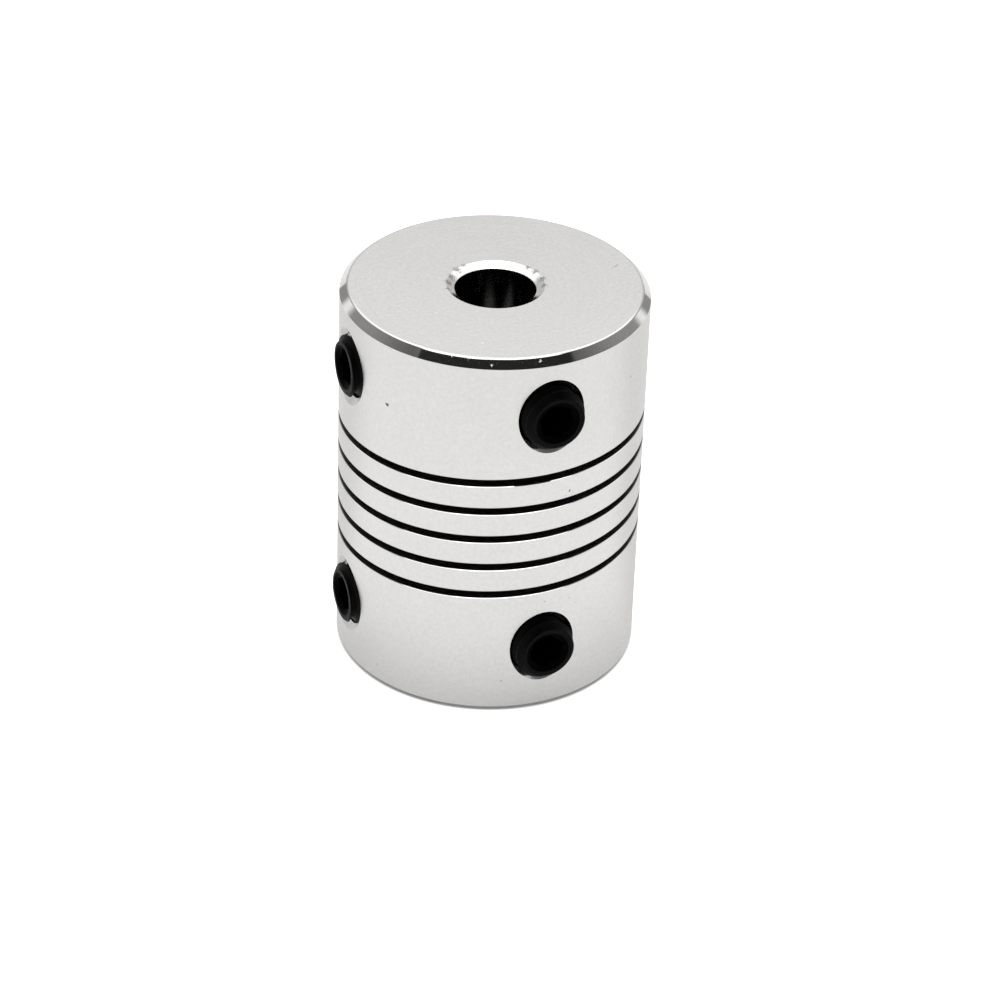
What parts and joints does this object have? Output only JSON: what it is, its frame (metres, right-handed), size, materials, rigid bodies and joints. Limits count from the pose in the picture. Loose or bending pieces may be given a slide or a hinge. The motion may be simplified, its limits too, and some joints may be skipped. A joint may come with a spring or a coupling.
{
  "type": "helical beam shaft coupling",
  "caption": "One-piece turned coupling with a helical slit as its spring, a 5 mm and an 8 mm bore, and socket set screws in both hubs.",
  "frame": {"origin": "on the shaft axis, in the plane of the lower face, where the 8 mm bore opens", "axes": "+Z along the shaft axis, from the 8 mm end to the 5 mm end; -Y and -X are the directions in which the two pairs of set screws point"},
  "size_m": [0.0193, 0.0198, 0.025],
  "materials": {
    "turned_aluminium": "fine-turned, satin",
    "black_oxide_steel": "black oxide on alloy steel, slightly oily"
  },
  "bodies": {
    "coupling_body": {"coupling_body": "turned_aluminium"},
    "set_screw_top_front": {"set_screw_top_front": "black_oxide_steel"},
    "set_screw_top_side": {"set_screw_top_side": "black_oxide_steel"},
    "set_screw_bottom_front": {"set_screw_bottom_front": "black_oxide_steel"},
    "set_screw_bottom_side": {"set_screw_bottom_side": "black_oxide_steel"}
  },
  "joints": [
    {"name": "drive_top_front", "type": "slide", "parent": "coupling_body", "child": "set_screw_top_front", "axis": [0, 1, 0], "range_m": [-0.0021, 0.0028]},
    {"name": "drive_top_side", "type": "slide", "parent": "coupling_body", "child": "set_screw_top_side", "axis": [1, 0, 0], "range_m": [-0.0021, 0.0023]},
    {"name": "drive_bottom_front", "type": "slide", "parent": "coupling_body", "child": "set_screw_bottom_front", "axis": [0, 1, 0], "range_m": [-0.0021, 0.0013]},
    {"name": "drive_bottom_side", "type": "slide", "parent": "coupling_body", "child": "set_screw_bottom_side", "axis": [1, 0, 0], "range_m": [-0.0021, 0.0008]}
  ]
}
